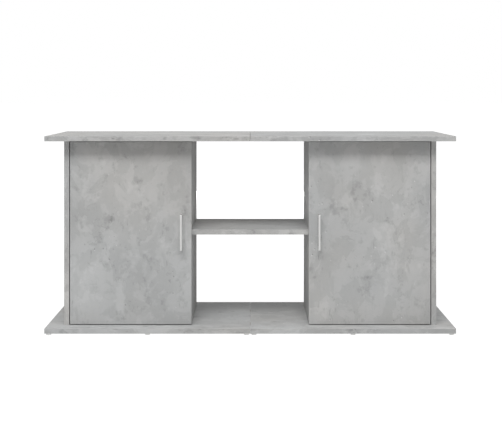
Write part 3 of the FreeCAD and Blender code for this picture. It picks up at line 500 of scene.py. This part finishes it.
def make_materials():
    """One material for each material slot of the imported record."""
    decor = decor_group()
    return {
        # Painted light: the top and base plates get a lighter grey than the other boards, standing in for
        # light on their broad faces, and their edge band is darkened back by painted shade.
        "plate_board": board_material("plate_board_painted_light_look", decor, 0.48, edge_painted_shade=0.86, seam=True),
        "carcass_board": board_material("carcass_board_look", decor, 0.42),
        "door_board": board_material("door_board_look", decor, 0.42),
        "hardboard": hardboard_material("hardboard_look", decor, 0.41),
        "handle_metal": brushed_metal("handle_metal_look", (0.66, 0.66, 0.65), 0.5, 0.012),
        "hinge_metal": plated_metal("hinge_metal_look", (0.74, 0.73, 0.70), 0.26, 1500.0, 0.06),
        "cam_metal": plated_metal("cam_metal_look", (0.62, 0.62, 0.61), 0.44, 1100.0, 0.25),
        "zinc_screw": plated_metal("zinc_screw_look", (0.70, 0.71, 0.72), 0.30, 1800.0, 0.10),
        "glide": glide_material("glide_look"),
        "bumper": bumper_material("bumper_look"),
        "beech": beech_material("beech_look"),
    }


def dress(frame):
    """Gives every CAD node the material of its slot, and the values that this material reads."""
    materials = make_materials()
    slots = {part["node"]: part["material_slot"] for part in frame["record"]["subparts"]}
    for index, name in enumerate(sorted(frame["nodes"])):
        piece = frame["nodes"][name]
        set_board_values(piece, index)
        piece["grain"] = [1.0, 0.0, 0.0] if name.startswith("seam") else [0.0, 0.0, 1.0]
        for slot in piece.material_slots:
            slot.material = materials[slots[name]]


# ---- Studio ----

def make_world():
    world = bpy.data.worlds.new("studio")
    world.use_nodes = True
    world.node_tree.nodes.clear()
    graph = Graph(world.node_tree)
    path = graph.node("ShaderNodeLightPath").outputs
    direction = graph.node("ShaderNodeTexCoord").outputs["Generated"]
    _, towards_rear, upwards = graph.split(direction)
    level = graph.mix(graph.step(upwards, 0.0, 1.0), HORIZON_AMBIENT, ZENITH_AMBIENT)
    behind = graph.step(towards_rear, *REAR_FADE)
    level = graph.maths("MULTIPLY", level, graph.mix(behind, 1.0, REAR_SHARE))
    level = graph.mix(path["Is Glossy Ray"], level, GLOSSY_AMBIENT)
    level = graph.mix(path["Is Camera Ray"], level, BACKDROP_WHITE)
    sky = graph.node("ShaderNodeBackground", {"Color": WHITE, "Strength": level})
    out = graph.node("ShaderNodeOutputWorld")
    graph.tree.links.new(sky.outputs[0], out.inputs["Surface"])
    bpy.context.scene.world = world


def make_floor(width, depth):
    """A plain white floor: bright to the camera, with a faint contact shadow, and a soft bounce for the rest.
    It is clear from below, and lights the underside of an object of the given width and depth."""
    half = FLOOR_HALF_WIDTH
    mesh = bpy.data.meshes.new("floor")
    corners = [(-half, -half, 0.0), (half, -half, 0.0), (half, half, 0.0), (-half, half, 0.0)]
    mesh.from_pydata(corners, [], [(0, 1, 2, 3)])
    floor = bpy.data.objects.new("floor", mesh)
    bpy.context.scene.collection.objects.link(floor)
    material, graph = new_material("floor_paint")
    path = graph.node("ShaderNodeLightPath").outputs
    to_camera = path["Is Camera Ray"]
    behind = graph.step(graph.split(graph.place())["Y"], *FLOOR_REAR_FADE)
    bounce = graph.maths("MULTIPLY", FLOOR_BOUNCE, graph.mix(behind, 1.0, REAR_SHARE))
    level = graph.mix(path["Is Diffuse Ray"], FLOOR_PAINT, bounce)
    paint = graph.node("ShaderNodeBsdfDiffuse", {"Color": graph.scaled(level, ONES)})
    glow = graph.node("ShaderNodeEmission", {"Color": WHITE, "Strength": FLOOR_GLOW})
    seen_from_below = graph.node("ShaderNodeNewGeometry").outputs["Backfacing"]
    share = graph.maths("MULTIPLY", to_camera, 1.0 - FLOOR_SHADOW_SHARE)
    across, along, _ = graph.split(graph.vector("ABSOLUTE", graph.place()))
    under = graph.product(
        graph.maths("LESS_THAN", across, width / 2.0),
        graph.maths("LESS_THAN", along, depth / 2.0),
        path["Is Diffuse Ray"])
    under_level = graph.maths("MULTIPLY", under, UNDERSIDE_GLOW)
    under_glow = graph.node("ShaderNodeEmission", {"Color": WHITE, "Strength": under_level})
    lit = graph.node("ShaderNodeAddShader")
    graph.feed(lit.inputs[0], paint.outputs[0])
    graph.feed(lit.inputs[1], under_glow.outputs[0])
    both = graph.node("ShaderNodeMixShader")
    graph.feed(both.inputs[0], share)
    graph.feed(both.inputs[1], lit.outputs[0])
    graph.feed(both.inputs[2], glow.outputs[0])
    clear = graph.node("ShaderNodeBsdfTransparent")
    either = graph.node("ShaderNodeMixShader")
    graph.feed(either.inputs[0], seen_from_below)
    graph.feed(either.inputs[1], both.outputs[0])
    graph.feed(either.inputs[2], clear.outputs[0])
    out = graph.node("ShaderNodeOutputMaterial")
    graph.tree.links.new(either.outputs[0], out.inputs["Surface"])
    mesh.materials.append(material)


def make_light(name, target, offset, size, level):
    """A rectangular soft light. Level is the brightness of a white card that faces it at the target."""
    data = bpy.data.lights.new(name, "AREA")
    data.shape = "RECTANGLE"
    data.size, data.size_y = size
    data.energy = level * (math.pi * offset.length) ** 2
    light = bpy.data.objects.new(name, data)
    light.location = target + offset
    light.rotation_euler = (-offset).to_track_quat("-Z", "Y").to_euler()
    bpy.context.scene.collection.objects.link(light)
    return light


def make_lights(target):
    turn, rise = math.radians(KEY_AZIMUTH), math.radians(KEY_ELEVATION)
    towards = Vector((math.sin(turn) * math.cos(rise), -math.cos(turn) * math.cos(rise), math.sin(rise)))
    make_light("key", target, towards * KEY_DISTANCE, KEY_SIZE, KEY_LEVEL)
    rear = make_light("rear", target, Vector((0.0, REAR_DISTANCE, 0.0)), REAR_SIZE, REAR_LEVEL)
    rear.visible_glossy = False


def make_camera():
    """The lens shift holds only at the camera's own place, so that a view from elsewhere is centred."""
    data = bpy.data.cameras.new("camera")
    data.lens = CAMERA_LENS_MM
    data.sensor_width = CAMERA_SENSOR_MM
    camera = bpy.data.objects.new("camera", data)
    camera.location = CAMERA_PLACE
    camera.rotation_euler = Vector((0.0, 1.0, 0.0)).to_track_quat("-Z", "Y").to_euler()
    bpy.context.scene.collection.objects.link(camera)
    bpy.context.scene.camera = camera
    for name, amount in CAMERA_SHIFT.items():
        driver = data.driver_add(name).driver
        driver.type = "SCRIPTED"
        away = []
        for axis, own_place in zip("xyz", CAMERA_PLACE):
            present = driver.variables.new()
            present.name = axis
            present.type = "TRANSFORMS"
            present.targets[0].id = camera
            present.targets[0].transform_type = f"LOC_{axis.upper()}"
            present.targets[0].transform_space = "WORLD_SPACE"
            away.append(f"abs({axis} - ({own_place:.4f}))")
        driver.expression = f"{amount} if {' + '.join(away)} < {MM} else 0"


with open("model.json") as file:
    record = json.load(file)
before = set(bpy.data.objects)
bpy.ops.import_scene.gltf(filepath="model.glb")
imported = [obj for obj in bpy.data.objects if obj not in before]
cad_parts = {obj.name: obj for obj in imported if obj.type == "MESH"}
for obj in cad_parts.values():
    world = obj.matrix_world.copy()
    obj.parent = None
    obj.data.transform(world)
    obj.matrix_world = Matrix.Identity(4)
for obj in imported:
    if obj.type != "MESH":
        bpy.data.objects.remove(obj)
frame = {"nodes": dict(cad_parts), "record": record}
cad_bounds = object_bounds()

dress(frame)
make_world()
cad_size = cad_bounds[1] - cad_bounds[0]
make_floor(cad_size[0], cad_size[1])
make_lights((cad_bounds[0] + cad_bounds[1]) / 2)
make_camera()
bpy.context.scene.view_settings.view_transform = "Standard"
